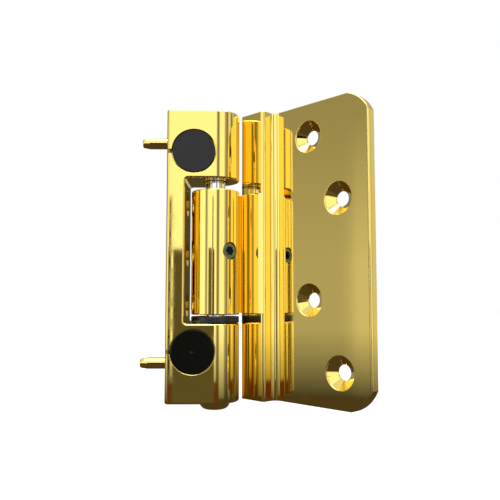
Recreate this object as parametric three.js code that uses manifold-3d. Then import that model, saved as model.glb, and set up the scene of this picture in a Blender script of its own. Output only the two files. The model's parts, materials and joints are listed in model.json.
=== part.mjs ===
// Height-adjustable butt hinge: a C-shaped frame bracket holds the ends of a steel pin in plain bushes,
// and a knuckle locked to that pin by a grub screw carries the door leaf.
// Units are millimetres, +Z is up along the pin, -Y is the front, +X points from the bracket to the door.
// The origin is on the bracket's mounting face, at mid height, just behind its front edge.
import * as THREE from 'three';
import { mergeVertices } from 'three/addons/utils/BufferGeometryUtils.js';
import Module from 'manifold-3d';

const wasm = await Module();
wasm.setup();

// Bracket, measured from the pin axis.
const BRACKET_HEIGHT = 100;
const MOUNT_FACE_X = -16.45;
const ORIGIN_Y = -5;
const FRONT_Y = -8.4;
const BACK_Y = 11;
const NOSE_RADIUS = 8.4;
const NOSE_BACK_ANGLE = THREE.MathUtils.degToRad(62);
const NOSE_BACK_X = -2.8;
const SPINE_FRONT_THICKNESS = 6.3;
const SPINE_BACK_THICKNESS = 6.9;
const MOUTH_LOW_Z = -23.4;
const MOUTH_HIGH_Z = 26.2;
const MOUTH_FILLET = 1;

// Pin, its bushes, washer, plug and height adjuster, all on the pin axis.
const PIN_RADIUS = 3.5;
const PIN_LOW_Z = -38.3;
const PIN_HIGH_Z = 40.4;
const PIN_CHAMFER = 0.6;
const BUSH_BORE_RADIUS = 3.6;
const BUSH_RADIUS = 4.25;
const ARM_BORE_RADIUS = 4.35;
const BUSH_LENGTH = 12;
const BUSH_SETBACK = 0.4;
const WASHER_RADIUS = 8.33;
const WASHER_THICKNESS = 2.2;
const WASHER_CHAMFER = 0.3;
const WASHER_GAP = 0.1;
const PLUG_RADIUS = 5;
const PLUG_LENGTH = 5.2;
const PLUG_BORE_RADIUS = 5.1;
const PLUG_BORE_DEPTH = 6;
const PLUG_HEX = 5;
const PLUG_HEX_DEPTH = 3;
const PLUG_SETBACK = 0.3;
const ADJUSTER_RADIUS = 5.2;
const ADJUSTER_BORE_RADIUS = 5.3;
const ADJUSTER_TOP_Z = -38.6;
const ADJUSTER_DROP = 2.7;
const ADJUSTER_DOME_RADIUS = 2.4;
const ADJUSTER_TRAVEL = 2.5;
const ADJUSTER_HEX = 4;
const ADJUSTER_HEX_DEPTH = 4;
const ADJUSTER_HEADROOM = 0.2;

// Caps over the two clamp screws, with a pry notch beside each.
const CAP_X = -7.2;
const CAP_UPPER_Z = 35.45;
const CAP_LOWER_Z = -32.7;
const CAP_RADIUS = 7.4;
const CAP_RECESS_RADIUS = 7.6;
const CAP_RECESS_DEPTH = 2.7;
const CAP_DISC = 1.6;
const CAP_CHAMFER = 0.25;
const CAP_SKIRT_OUTER = 6.9;
const CAP_SKIRT_INNER = 5.9;
const CAP_SKIRT_LENGTH = 0.8;
const CAP_SETBACK = 0.1;
const CAP_DIMPLE_RADIUS = 0.7;
const CAP_DIMPLE_DEPTH = 0.3;
const NOTCH_REACH = 1.2;
const NOTCH_HEIGHT = 1.5;
const NOTCH_DEPTH = 1;
const CLAMP_RADIUS = 2.5;
const CLAMP_HOLE_RADIUS = 2.6;
const CLAMP_LENGTH = 13;
const CLAMP_HEX = 2.5;
const CLAMP_HEX_DEPTH = 2.5;

// Screw holes through the spine, and the two locating spigots on the mounting face.
const SPINE_HOLE_Y = 1.2;
const SPINE_HOLE_MID_Z = 1;
const SPINE_HOLE_PITCH = 17.75;
const SPINE_HOLE_RADIUS = 2.7;
const SPINE_SINK_RADIUS = 4.6;
const SPINE_SINK_DEPTH = 2;
const SPIGOT_Y = 1.2;
const SPIGOT_UPPER_Z = 40.3;
const SPIGOT_LOWER_Z = -37.35;
const SPIGOT_RADIUS = 1.95;
const SPIGOT_HOLE_RADIUS = 2;
const SPIGOT_PROUD = 9.5;
const SPIGOT_BURIED = 5;
const SPIGOT_TAPER = 2.5;
const SPIGOT_TIP_RADIUS = 1.55;

// Leaf side, in its own axes: x from the pin axis along the leaf, y towards the leaf's back.
const LEAF_OPEN_ANGLE = THREE.MathUtils.degToRad(46.5);
const BARREL_RADIUS = 8.4;
const BARREL_LOW_Z = -20.5;
const BARREL_HIGH_Z = 22.5;
const BARREL_BORE_RADIUS = 3.6;
const NECK_LOW_Z = -20;
const NECK_HIGH_Z = 21.6;
const NECK_FRONT_Y = 7.4;
const NECK_TANGENT_ANGLE = THREE.MathUtils.degToRad(128.3);
const NECK_BACK_Y = 14.35;
const NECK_CORNER_IN = 0.3;
const NECK_CORNER_BACK = 0.4;
const LEAF_LOW_Z = -49.85;
const LEAF_HIGH_Z = 50.75;
const BAR_NEAR_X = 4.61;
const BAR_FAR_X = 15.2;
const BAR_FRONT_Y = 8.57;
const BAR_RIDGE_RADIUS = 1.3;
const BAR_FOOT_FILLET = 2.5;
const PLATE_FRONT_Y = 14.35;
const PLATE_THICKNESS = 3;
const PLATE_END_X = 55.05;
const PLATE_END_ROUND = 0.8;
const CORNER_START_X = 46.85;
const CORNER_DROP = 7.1;
const CORNER_RADIUS = 12.5;
const LEAF_HOLE_NEAR_X = 30.6;
const LEAF_HOLE_FAR_X = 42.8;
const LEAF_HOLE_RISES = [39.1, 16.7, -16, -38.75];
const LEAF_HOLE_RADIUS = 2.5;
const LEAF_SINK_RADIUS = 5.6;
const LEAF_SINK_DEPTH = 2.5;
const GRUB_LEAN = THREE.MathUtils.degToRad(-3);
const GRUB_Z = 1.3;
const GRUB_RADIUS = 2.9;
const GRUB_HOLE_RADIUS = 3;
const GRUB_INNER = 3.8;
const GRUB_OUTER = 7.9;
const GRUB_HEX = 3;
const GRUB_HEX_DEPTH = 2.4;

// Facets and allowances.
const FINE = 48;
const MEDIUM = 36;
const COARSE = 24;
const ARC_STEPS = 16;
const FILLET_STEPS = 6;
const CORNER_STEPS = 10;
const DOME_STEPS = 6;
const HEX_FACETS = 6;
const HOLE_END_GAP = 0.3;
const OVERCUT = 1;
const MERGE_TOLERANCE = 0.0005;

const GOLD = new THREE.MeshStandardMaterial({ color: 0xc9a24a, metalness: 1, roughness: 0.08 });
const STEEL = new THREE.MeshStandardMaterial({ color: 0xb8bcc0, metalness: 1, roughness: 0.25 });
const DARK_STEEL = new THREE.MeshStandardMaterial({ color: 0x5d6a72, metalness: 1, roughness: 0.35 });
const BLACK_PLASTIC = new THREE.MeshStandardMaterial({ color: 0x17181a, metalness: 0, roughness: 0.6 });
const NYLON = new THREE.MeshStandardMaterial({ color: 0x101112, metalness: 0, roughness: 0.45 });

// A closed geometry as a solid that can be joined and cut.
function solidOf(geometry) {
  const bare = geometry.clone();
  bare.deleteAttribute('normal');
  bare.deleteAttribute('uv');
  const merged = mergeVertices(bare, MERGE_TOLERANCE);
  return new wasm.Manifold(new wasm.Mesh({
    numProp: 3,
    vertProperties: new Float32Array(merged.attributes.position.array),
    triVerts: new Uint32Array(merged.index.array),
  }));
}

function geometryOf(solid) {
  const mesh = solid.getMesh();
  const geometry = new THREE.BufferGeometry();
  geometry.setAttribute('position', new THREE.BufferAttribute(mesh.vertProperties, 3));
  geometry.setIndex(new THREE.BufferAttribute(mesh.triVerts, 1));
  geometry.computeVertexNormals();
  return geometry;
}

function part(name, solid, material) {
  const mesh = new THREE.Mesh(geometryOf(solid), material);
  mesh.name = name;
  return mesh;
}

function box(low, high) {
  const [x, y, z] = high.map((value, i) => value - low[i]);
  const geometry = new THREE.BoxGeometry(x, y, z);
  geometry.translate(low[0] + x / 2, low[1] + y / 2, low[2] + z / 2);
  return solidOf(geometry);
}

// Frustums along Z, Y and X: the first radius is at the low end.
function alongZ(lowRadius, highRadius, lowZ, highZ, facets = MEDIUM) {
  const geometry = new THREE.CylinderGeometry(highRadius, lowRadius, highZ - lowZ, facets);
  geometry.rotateX(Math.PI / 2);
  geometry.translate(0, 0, (lowZ + highZ) / 2);
  return solidOf(geometry);
}

function alongY(lowRadius, highRadius, lowY, highY, x, z, facets = MEDIUM) {
  const geometry = new THREE.CylinderGeometry(highRadius, lowRadius, highY - lowY, facets);
  geometry.translate(x, (lowY + highY) / 2, z);
  return solidOf(geometry);
}

function alongX(lowRadius, highRadius, lowX, highX, y, z, facets = MEDIUM) {
  const geometry = new THREE.CylinderGeometry(highRadius, lowRadius, highX - lowX, facets);
  geometry.rotateZ(-Math.PI / 2);
  geometry.translate((lowX + highX) / 2, y, z);
  return solidOf(geometry);
}

// A hexagonal key socket's corner radius, from its width across flats.
const hexRadius = (acrossFlats) => acrossFlats / Math.sqrt(3);

// A profile of [radius, height] pairs turned about Z, from the bottom up.
function turned(profile, facets = FINE) {
  const points = profile.map(([radius, height]) => new THREE.Vector2(radius, height));
  const geometry = new THREE.LatheGeometry(points, facets);
  geometry.rotateX(Math.PI / 2);
  return solidOf(geometry);
}

function extruded(shape, lowZ, highZ) {
  const geometry = new THREE.ExtrudeGeometry(shape, {
    depth: highZ - lowZ,
    bevelEnabled: false,
    curveSegments: ARC_STEPS,
  });
  geometry.translate(0, 0, lowZ);
  return solidOf(geometry);
}

// The bracket's plan: square at the spine, round at the pin, with a slanting back corner.
function bracketPlan() {
  const shape = new THREE.Shape();
  shape.moveTo(MOUNT_FACE_X, BACK_Y);
  shape.lineTo(MOUNT_FACE_X, FRONT_Y);
  shape.lineTo(0, FRONT_Y);
  shape.absarc(0, 0, NOSE_RADIUS, -Math.PI / 2, NOSE_BACK_ANGLE, false);
  shape.lineTo(NOSE_BACK_X, BACK_Y);
  shape.closePath();
  return shape;
}

// The mouth between the arms, with small fillets where the arms meet the spine. The spine grows thicker
// towards the back, so the cutter is sheared to lean with its inner face.
function mouthCutter() {
  const spineX = MOUNT_FACE_X + SPINE_FRONT_THICKNESS;
  const openX = NOSE_RADIUS + OVERCUT;
  const shape = new THREE.Shape();
  shape.moveTo(openX, MOUTH_LOW_Z);
  shape.lineTo(openX, MOUTH_HIGH_Z);
  shape.lineTo(spineX + MOUTH_FILLET, MOUTH_HIGH_Z);
  const filletX = spineX + MOUTH_FILLET;
  shape.absarc(filletX, MOUTH_HIGH_Z - MOUTH_FILLET, MOUTH_FILLET, Math.PI / 2, Math.PI, false);
  shape.lineTo(spineX, MOUTH_LOW_Z + MOUTH_FILLET);
  shape.absarc(filletX, MOUTH_LOW_Z + MOUTH_FILLET, MOUTH_FILLET, Math.PI, 1.5 * Math.PI, false);
  shape.closePath();
  const geometry = new THREE.ExtrudeGeometry(shape, {
    depth: BACK_Y - FRONT_Y + 2 * OVERCUT,
    bevelEnabled: false,
    curveSegments: FILLET_STEPS,
  });
  geometry.rotateX(Math.PI / 2);
  geometry.translate(0, BACK_Y + OVERCUT, 0);
  const lean = (SPINE_BACK_THICKNESS - SPINE_FRONT_THICKNESS) / (BACK_Y - FRONT_Y);
  geometry.translate(0, -FRONT_Y, 0);
  geometry.applyMatrix4(new THREE.Matrix4().makeShear(0, 0, lean, 0, 0, 0));
  geometry.translate(0, FRONT_Y, 0);
  return solidOf(geometry);
}

// The round recess, pry notch and clamp screw hole behind one cap.
function capCutter(z) {
  const recess = alongY(
    CAP_RECESS_RADIUS, CAP_RECESS_RADIUS, FRONT_Y - OVERCUT, FRONT_Y + CAP_RECESS_DEPTH, CAP_X, z, FINE,
  );
  const notch = box(
    [CAP_X - CAP_RECESS_RADIUS - NOTCH_REACH, FRONT_Y - OVERCUT, z - NOTCH_HEIGHT / 2],
    [CAP_X - CAP_RECESS_RADIUS / 2, FRONT_Y + NOTCH_DEPTH, z + NOTCH_HEIGHT / 2],
  );
  const clampEnd = FRONT_Y + CAP_RECESS_DEPTH + CLAMP_LENGTH;
  const clamp = alongY(
    CLAMP_HOLE_RADIUS, CLAMP_HOLE_RADIUS, FRONT_Y, clampEnd + HOLE_END_GAP, CAP_X, z, COARSE,
  );
  return recess.add(notch).add(clamp);
}

// One screw hole through the spine, sunk on the mouth side.
function spineHoleCutter(z) {
  const innerX = MOUNT_FACE_X + (SPINE_FRONT_THICKNESS + SPINE_BACK_THICKNESS) / 2;
  const hole = alongX(
    SPINE_HOLE_RADIUS, SPINE_HOLE_RADIUS, MOUNT_FACE_X - OVERCUT, innerX + OVERCUT, SPINE_HOLE_Y, z, COARSE,
  );
  const sink = alongX(
    SPINE_HOLE_RADIUS, SPINE_SINK_RADIUS, innerX - SPINE_SINK_DEPTH, innerX, SPINE_HOLE_Y, z, COARSE,
  );
  const relief = alongX(
    SPINE_SINK_RADIUS, SPINE_SINK_RADIUS, innerX, innerX + OVERCUT, SPINE_HOLE_Y, z, COARSE,
  );
  return hole.add(sink).add(relief);
}

function spigotHoleCutter(z) {
  const depth = MOUNT_FACE_X + SPIGOT_BURIED + HOLE_END_GAP;
  return alongX(SPIGOT_HOLE_RADIUS, SPIGOT_HOLE_RADIUS, MOUNT_FACE_X - OVERCUT, depth, SPIGOT_Y, z, COARSE);
}

function frameBracket() {
  const half = BRACKET_HEIGHT / 2;
  let solid = extruded(bracketPlan(), -half, half).subtract(mouthCutter());
  solid = solid.subtract(alongZ(ARM_BORE_RADIUS, ARM_BORE_RADIUS, -half, half));
  solid = solid.subtract(alongZ(PLUG_BORE_RADIUS, PLUG_BORE_RADIUS, half - PLUG_BORE_DEPTH, half + OVERCUT));
  const boreTop = ADJUSTER_TOP_Z + ADJUSTER_TRAVEL + ADJUSTER_HEADROOM;
  solid = solid.subtract(alongZ(ADJUSTER_BORE_RADIUS, ADJUSTER_BORE_RADIUS, -half - OVERCUT, boreTop));
  for (const z of [CAP_UPPER_Z, CAP_LOWER_Z]) {
    solid = solid.subtract(capCutter(z));
  }
  for (const step of [-1, 0, 1]) {
    solid = solid.subtract(spineHoleCutter(SPINE_HOLE_MID_Z + step * SPINE_HOLE_PITCH));
  }
  for (const z of [SPIGOT_UPPER_Z, SPIGOT_LOWER_Z]) {
    solid = solid.subtract(spigotHoleCutter(z));
  }
  return part('frame_bracket', solid, GOLD);
}

// A dowel pressed into the mounting face, with a tapered lead-in.
function spigot(name, z) {
  const tip = MOUNT_FACE_X - SPIGOT_PROUD;
  const inner = MOUNT_FACE_X + SPIGOT_BURIED;
  const shank = alongX(SPIGOT_RADIUS, SPIGOT_RADIUS, tip + SPIGOT_TAPER, inner, SPIGOT_Y, z, COARSE);
  const nose = alongX(SPIGOT_TIP_RADIUS, SPIGOT_RADIUS, tip, tip + SPIGOT_TAPER, SPIGOT_Y, z, COARSE);
  return part(name, shank.add(nose), GOLD);
}

// A plain bush in an arm, set back a little from the mouth.
function bush(name, lowZ) {
  const outer = alongZ(BUSH_RADIUS, BUSH_RADIUS, lowZ, lowZ + BUSH_LENGTH);
  const bore = alongZ(BUSH_BORE_RADIUS, BUSH_BORE_RADIUS, lowZ - OVERCUT, lowZ + BUSH_LENGTH + OVERCUT);
  return part(name, outer.subtract(bore), NYLON);
}

function thrustWasher() {
  const low = MOUTH_LOW_Z + WASHER_GAP;
  const high = low + WASHER_THICKNESS;
  const solid = turned([
    [0, low],
    [WASHER_RADIUS - WASHER_CHAMFER, low],
    [WASHER_RADIUS, low + WASHER_CHAMFER],
    [WASHER_RADIUS, high - WASHER_CHAMFER],
    [WASHER_RADIUS - WASHER_CHAMFER, high],
    [0, high],
  ]);
  const bore = alongZ(BUSH_BORE_RADIUS, BUSH_BORE_RADIUS, low - OVERCUT, high + OVERCUT);
  return part('thrust_washer', solid.subtract(bore), NYLON);
}

// The threaded plug that closes the upper arm above the pin.
function topPlug() {
  const high = BRACKET_HEIGHT / 2 - PLUG_SETBACK;
  const body = alongZ(PLUG_RADIUS, PLUG_RADIUS, high - PLUG_LENGTH, high);
  const radius = hexRadius(PLUG_HEX);
  const socket = alongZ(radius, radius, high - PLUG_HEX_DEPTH, high + OVERCUT, HEX_FACETS);
  return part('top_plug', body.subtract(socket), GOLD);
}

// The screw under the pin: its domed end stands out of the lower arm and has a key socket.
function heightAdjuster() {
  const low = -BRACKET_HEIGHT / 2 - ADJUSTER_DROP;
  const profile = [[0, low]];
  for (let i = 0; i <= DOME_STEPS; i += 1) {
    const angle = (i / DOME_STEPS) * (Math.PI / 2);
    profile.push([
      ADJUSTER_RADIUS - ADJUSTER_DOME_RADIUS * (1 - Math.sin(angle)),
      low + ADJUSTER_DOME_RADIUS * (1 - Math.cos(angle)),
    ]);
  }
  profile.push([ADJUSTER_RADIUS, ADJUSTER_TOP_Z], [0, ADJUSTER_TOP_Z]);
  const radius = hexRadius(ADJUSTER_HEX);
  const socket = alongZ(radius, radius, low - OVERCUT, low + ADJUSTER_HEX_DEPTH, HEX_FACETS);
  return part('height_adjuster', turned(profile, MEDIUM).subtract(socket), GOLD);
}

function clampScrew(name, z) {
  const front = FRONT_Y + CAP_RECESS_DEPTH;
  const body = alongY(CLAMP_RADIUS, CLAMP_RADIUS, front, front + CLAMP_LENGTH, CAP_X, z, COARSE);
  const radius = hexRadius(CLAMP_HEX);
  const socket = alongY(radius, radius, front - OVERCUT, front + CLAMP_HEX_DEPTH, CAP_X, z, HEX_FACETS);
  return part(name, body.subtract(socket), DARK_STEEL);
}

// A push-in cap: a chamfered disc with a dimple in front and a snap skirt behind.
function cap(name, z) {
  const front = FRONT_Y + CAP_SETBACK;
  const back = front + CAP_DISC;
  const rim = alongY(CAP_RADIUS - CAP_CHAMFER, CAP_RADIUS, front, front + CAP_CHAMFER, CAP_X, z, FINE);
  const disc = alongY(CAP_RADIUS, CAP_RADIUS, front + CAP_CHAMFER, back, CAP_X, z, FINE);
  const skirt = alongY(CAP_SKIRT_OUTER, CAP_SKIRT_OUTER, back, back + CAP_SKIRT_LENGTH, CAP_X, z, FINE)
    .subtract(alongY(CAP_SKIRT_INNER, CAP_SKIRT_INNER, back, back + 2 * CAP_SKIRT_LENGTH, CAP_X, z, FINE));
  const dimple = alongY(
    CAP_DIMPLE_RADIUS, CAP_DIMPLE_RADIUS / 2, front - OVERCUT, front + CAP_DIMPLE_DEPTH, CAP_X, z, COARSE,
  );
  return part(name, rim.add(disc).add(skirt).subtract(dimple), BLACK_PLASTIC);
}

function hingePin() {
  const solid = turned([
    [0, PIN_LOW_Z],
    [PIN_RADIUS - PIN_CHAMFER, PIN_LOW_Z],
    [PIN_RADIUS, PIN_LOW_Z + PIN_CHAMFER],
    [PIN_RADIUS, PIN_HIGH_Z - PIN_CHAMFER],
    [PIN_RADIUS - PIN_CHAMFER, PIN_HIGH_Z],
    [0, PIN_HIGH_Z],
  ], MEDIUM);
  return part('hinge_pin', solid, STEEL);
}

// The leaf's section: a proud bar next to the knuckle, then a flat plate with a rounded free edge.
function leafSection() {
  const backY = PLATE_FRONT_Y + PLATE_THICKNESS;
  const shape = new THREE.Shape();
  shape.moveTo(BAR_NEAR_X, BAR_FRONT_Y);
  shape.lineTo(BAR_FAR_X - BAR_RIDGE_RADIUS, BAR_FRONT_Y);
  shape.absarc(
    BAR_FAR_X - BAR_RIDGE_RADIUS, BAR_FRONT_Y + BAR_RIDGE_RADIUS, BAR_RIDGE_RADIUS, -Math.PI / 2, 0, false,
  );
  const footX = BAR_FAR_X + BAR_FOOT_FILLET;
  const footY = PLATE_FRONT_Y - BAR_FOOT_FILLET;
  shape.lineTo(BAR_FAR_X, footY);
  shape.absarc(footX, footY, BAR_FOOT_FILLET, Math.PI, Math.PI / 2, true);
  shape.lineTo(PLATE_END_X - PLATE_END_ROUND, PLATE_FRONT_Y);
  shape.absarc(
    PLATE_END_X - PLATE_END_ROUND, PLATE_FRONT_Y + PLATE_END_ROUND, PLATE_END_ROUND, -Math.PI / 2, 0, false,
  );
  shape.lineTo(PLATE_END_X, backY);
  shape.lineTo(BAR_NEAR_X, backY);
  shape.closePath();
  return shape;
}

// The leaf's front view, which trims the two free corners to wide arcs.
function leafOutline() {
  const start = new THREE.Vector2(CORNER_START_X, LEAF_HIGH_Z);
  const end = new THREE.Vector2(PLATE_END_X, LEAF_HIGH_Z - CORNER_DROP);
  const chord = end.clone().sub(start);
  const rise = Math.sqrt(CORNER_RADIUS ** 2 - chord.lengthSq() / 4);
  const normal = new THREE.Vector2(chord.y, -chord.x).normalize();
  const centre = start.clone().add(end).multiplyScalar(0.5).addScaledVector(normal, rise);
  const startAngle = start.clone().sub(centre).angle();
  const endAngle = end.clone().sub(centre).angle();
  const midZ = (LEAF_HIGH_Z + LEAF_LOW_Z) / 2;
  const shape = new THREE.Shape();
  shape.moveTo(0, LEAF_HIGH_Z);
  shape.lineTo(start.x, start.y);
  shape.absarc(centre.x, centre.y, CORNER_RADIUS, startAngle, endAngle, true);
  shape.absarc(centre.x, 2 * midZ - centre.y, CORNER_RADIUS, -endAngle, -startAngle, true);
  shape.lineTo(0, LEAF_LOW_Z);
  shape.closePath();
  return shape;
}

function leafTrimmer() {
  const geometry = new THREE.ExtrudeGeometry(leafOutline(), {
    depth: PLATE_FRONT_Y + PLATE_THICKNESS + 2 * OVERCUT,
    bevelEnabled: false,
    curveSegments: CORNER_STEPS,
  });
  geometry.rotateX(Math.PI / 2);
  geometry.translate(0, PLATE_FRONT_Y + PLATE_THICKNESS + OVERCUT, 0);
  return solidOf(geometry);
}

// The neck that joins the barrel to the bar: proud of the bar in front, tangent to the barrel behind.
function neckPlan() {
  const shape = new THREE.Shape();
  shape.moveTo(0, NECK_FRONT_Y);
  shape.lineTo(BAR_FAR_X - BAR_RIDGE_RADIUS, NECK_FRONT_Y);
  shape.lineTo(BAR_FAR_X - NECK_CORNER_IN, BAR_FRONT_Y + NECK_CORNER_BACK);
  shape.lineTo(BAR_FAR_X - BAR_RIDGE_RADIUS, NECK_BACK_Y);
  shape.lineTo(BAR_NEAR_X, NECK_BACK_Y);
  const tangentX = BARREL_RADIUS * Math.cos(NECK_TANGENT_ANGLE);
  const tangentY = BARREL_RADIUS * Math.sin(NECK_TANGENT_ANGLE);
  shape.lineTo(tangentX, tangentY);
  shape.closePath();
  return shape;
}

// One countersunk screw hole through the leaf plate.
function leafHoleCutter(x, z) {
  const backY = PLATE_FRONT_Y + PLATE_THICKNESS;
  const hole = alongY(LEAF_HOLE_RADIUS, LEAF_HOLE_RADIUS, PLATE_FRONT_Y - OVERCUT, backY + OVERCUT, x, z);
  const sinkY = PLATE_FRONT_Y + LEAF_SINK_DEPTH;
  const sink = alongY(LEAF_SINK_RADIUS, LEAF_HOLE_RADIUS, PLATE_FRONT_Y, sinkY, x, z);
  return hole.add(sink);
}

// A round bar along the grub screw's axis, which leans from the leaf's own direction.
function alongGrub(radius, inner, outer, facets = COARSE) {
  const geometry = new THREE.CylinderGeometry(radius, radius, outer - inner, facets);
  geometry.rotateZ(-Math.PI / 2);
  geometry.translate((inner + outer) / 2, 0, 0);
  geometry.rotateZ(GRUB_LEAN);
  geometry.translate(0, 0, GRUB_Z);
  return solidOf(geometry);
}

function leaf() {
  let solid = extruded(leafSection(), LEAF_LOW_Z, LEAF_HIGH_Z).intersect(leafTrimmer());
  solid = solid.add(extruded(neckPlan(), NECK_LOW_Z, NECK_HIGH_Z));
  solid = solid.add(alongZ(BARREL_RADIUS, BARREL_RADIUS, BARREL_LOW_Z, BARREL_HIGH_Z, FINE));
  const boreLow = BARREL_LOW_Z - OVERCUT;
  const boreHigh = BARREL_HIGH_Z + OVERCUT;
  solid = solid.subtract(alongZ(BARREL_BORE_RADIUS, BARREL_BORE_RADIUS, boreLow, boreHigh));
  solid = solid.subtract(alongGrub(GRUB_HOLE_RADIUS, 0, BARREL_RADIUS + OVERCUT));
  const midZ = (LEAF_HIGH_Z + LEAF_LOW_Z) / 2;
  LEAF_HOLE_RISES.forEach((rise, i) => {
    const x = i % 2 === 0 ? LEAF_HOLE_NEAR_X : LEAF_HOLE_FAR_X;
    solid = solid.subtract(leafHoleCutter(x, midZ + rise));
  });
  return part('door_leaf', solid, GOLD);
}

function grubScrew() {
  const body = alongGrub(GRUB_RADIUS, GRUB_INNER, GRUB_OUTER);
  const radius = hexRadius(GRUB_HEX);
  const socket = alongGrub(radius, GRUB_OUTER - GRUB_HEX_DEPTH, GRUB_OUTER + OVERCUT, HEX_FACETS);
  return part('grub_screw', body.subtract(socket), DARK_STEEL);
}

const frameSide = new THREE.Group();
frameSide.add(
  frameBracket(),
  spigot('upper_spigot', SPIGOT_UPPER_Z),
  spigot('lower_spigot', SPIGOT_LOWER_Z),
  bush('upper_bush', MOUTH_HIGH_Z + BUSH_SETBACK),
  bush('lower_bush', MOUTH_LOW_Z - BUSH_SETBACK - BUSH_LENGTH),
  thrustWasher(),
  topPlug(),
  heightAdjuster(),
  clampScrew('upper_clamp_screw', CAP_UPPER_Z),
  clampScrew('lower_clamp_screw', CAP_LOWER_Z),
  cap('upper_cap', CAP_UPPER_Z),
  cap('lower_cap', CAP_LOWER_Z),
);

const leafSide = new THREE.Group();
leafSide.rotation.z = -LEAF_OPEN_ANGLE;
leafSide.add(hingePin(), leaf(), grubScrew());

const hinge = new THREE.Group();
hinge.position.set(-MOUNT_FACE_X, -ORIGIN_Y, 0);
hinge.add(frameSide, leafSide);

export default hinge;
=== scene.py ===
"""The finished look of a gold adjustable door hinge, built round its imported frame.

Lengths are in millimetres times MM, so they reach Blender in metres. Shapes on the frame side are drawn from
the pin axis, and shapes on the leaf side in the leaf's own axes: x along the leaf, y towards its back.
"""

import json
import math

import bmesh
import bpy
from mathutils import Matrix, Vector


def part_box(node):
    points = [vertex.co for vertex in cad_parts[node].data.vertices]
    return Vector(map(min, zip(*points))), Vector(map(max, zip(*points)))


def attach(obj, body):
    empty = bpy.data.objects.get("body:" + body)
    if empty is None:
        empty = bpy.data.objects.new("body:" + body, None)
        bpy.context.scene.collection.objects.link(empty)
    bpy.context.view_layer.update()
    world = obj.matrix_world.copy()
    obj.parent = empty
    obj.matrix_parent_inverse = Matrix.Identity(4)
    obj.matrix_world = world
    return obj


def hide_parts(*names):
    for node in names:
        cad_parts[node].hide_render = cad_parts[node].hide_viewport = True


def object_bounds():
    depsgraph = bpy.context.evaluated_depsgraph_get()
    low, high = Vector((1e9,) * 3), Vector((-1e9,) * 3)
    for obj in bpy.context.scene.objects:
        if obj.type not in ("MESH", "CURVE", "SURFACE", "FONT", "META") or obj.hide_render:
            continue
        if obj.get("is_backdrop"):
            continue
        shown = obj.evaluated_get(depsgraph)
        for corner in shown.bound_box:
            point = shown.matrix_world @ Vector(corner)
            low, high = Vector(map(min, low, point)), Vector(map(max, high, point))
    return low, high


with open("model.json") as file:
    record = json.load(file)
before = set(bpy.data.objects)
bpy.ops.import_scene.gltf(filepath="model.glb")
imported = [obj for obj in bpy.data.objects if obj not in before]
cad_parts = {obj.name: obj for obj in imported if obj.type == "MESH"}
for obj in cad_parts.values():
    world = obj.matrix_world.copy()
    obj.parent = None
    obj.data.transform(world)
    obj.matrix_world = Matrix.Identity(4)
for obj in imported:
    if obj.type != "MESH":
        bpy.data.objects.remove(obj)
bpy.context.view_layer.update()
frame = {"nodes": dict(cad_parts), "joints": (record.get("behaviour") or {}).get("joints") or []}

MM = 0.001
JOINTS = {joint["name"]: joint for joint in frame["joints"]}
PIN_AXIS = Vector(JOINTS["leaf_swing"]["pos_m"])
TO_PIN = Matrix.Translation(PIN_AXIS)
LEAF_OPEN = -math.radians(46.5)
TO_LEAF = TO_PIN @ Matrix.Rotation(LEAF_OPEN, 4, "Z")


def pin_box(node):
    """A frame-side node's corners, measured from the pin axis."""
    low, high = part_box(node)
    return low - PIN_AXIS, high - PIN_AXIS


# ---------------------------------------------------------------- camera

CAMERA_PLACE = Vector((24.32, -205.98, -15.25)) * MM
CAMERA_AIM = Vector((0.0205, 0.9964, 0.0819))
SENSOR_WIDTH = 36
LENS = 43.25
CLIP_START = 0.01


def make_camera():
    data = bpy.data.cameras.new("camera")
    data.sensor_width = SENSOR_WIDTH
    data.lens = LENS
    data.clip_start = CLIP_START
    camera = bpy.data.objects.new("camera", data)
    camera.location = CAMERA_PLACE
    camera.rotation_euler = CAMERA_AIM.to_track_quat("-Z", "Y").to_euler()
    bpy.context.scene.collection.objects.link(camera)
    bpy.context.scene.camera = camera


# ---------------------------------------------------------------- materials

def new_material(name, colour, metallic, roughness):
    material = bpy.data.materials.new(name)
    material.use_nodes = True
    shader = material.node_tree.nodes["Principled BSDF"]
    shader.inputs["Base Color"].default_value = (*colour, 1)
    shader.inputs["Metallic"].default_value = metallic
    shader.inputs["Roughness"].default_value = roughness
    return material, shader


def add_noise(material, scale, detail=3.0, stretch=(1, 1, 1)):
    """A noise in object space, in features per metre, that can be stretched along an axis."""
    nodes, links = material.node_tree.nodes, material.node_tree.links
    place = nodes.new("ShaderNodeTexCoord")
    mapping = nodes.new("ShaderNodeMapping")
    mapping.inputs["Scale"].default_value = stretch
    noise = nodes.new("ShaderNodeTexNoise")
    noise.inputs["Scale"].default_value = scale
    noise.inputs["Detail"].default_value = detail
    links.new(place.outputs["Object"], mapping.inputs["Vector"])
    links.new(mapping.outputs["Vector"], noise.inputs["Vector"])
    return noise.outputs["Fac"]


NOISE_LOW = 0.35
NOISE_HIGH = 0.65


def spread(material, factor, low, high, into):
    """Maps a noise onto a range of values for one shader input."""
    nodes, links = material.node_tree.nodes, material.node_tree.links
    remap = nodes.new("ShaderNodeMapRange")
    remap.inputs["From Min"].default_value = NOISE_LOW
    remap.inputs["From Max"].default_value = NOISE_HIGH
    remap.inputs["To Min"].default_value = low
    remap.inputs["To Max"].default_value = high
    links.new(factor, remap.inputs["Value"])
    links.new(remap.outputs["Result"], into)


def add_bump(material, shader, factor, strength, distance, under=None):
    nodes, links = material.node_tree.nodes, material.node_tree.links
    bump = nodes.new("ShaderNodeBump")
    bump.inputs["Strength"].default_value = strength
    bump.inputs["Distance"].default_value = distance
    links.new(factor, bump.inputs["Height"])
    if under is not None:
        links.new(under.outputs["Normal"], bump.inputs["Normal"])
    links.new(bump.outputs["Normal"], shader.inputs["Normal"])
    return bump


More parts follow.
